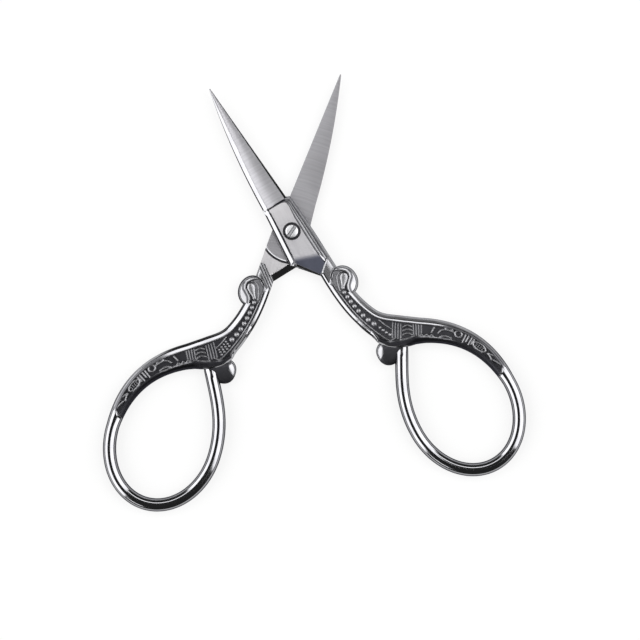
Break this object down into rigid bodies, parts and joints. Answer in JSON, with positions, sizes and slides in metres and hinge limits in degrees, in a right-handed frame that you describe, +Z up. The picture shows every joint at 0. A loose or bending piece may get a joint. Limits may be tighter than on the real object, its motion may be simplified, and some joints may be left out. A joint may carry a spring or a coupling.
{
  "type": "embroidery scissors",
  "caption": "Small pointed embroidery scissors: slim hollow-ground blades, a slotted pivot screw and ornate curved shanks that swing into egg-shaped finger bows.",
  "frame": {"origin": "on the pivot axis, at the flush lower end of the pivot screw, on the plane that the scissors lie on", "axes": "+Z up out of that plane along the pivot axis, +Y midway between the two blades towards the points, +X to the side of the back half's blade"},
  "size_m": [0.1034, 0.1009, 0.0041],
  "materials": {
    "plated_steel": "forged carbon steel, bright nickel plate with darkened recesses, blades ground to bare satin steel",
    "screw_steel": "polished steel"
  },
  "bodies": {
    "back": {"back_half": "plated_steel", "pivot_screw": "screw_steel"},
    "front": {"front_half": "plated_steel"}
  },
  "joints": [
    {"name": "pivot", "type": "hinge", "parent": "back", "child": "front", "pos_m": [0, 0, 0], "axis": [0, 0, 1], "range_deg": [-47.3, 84]}
  ]
}
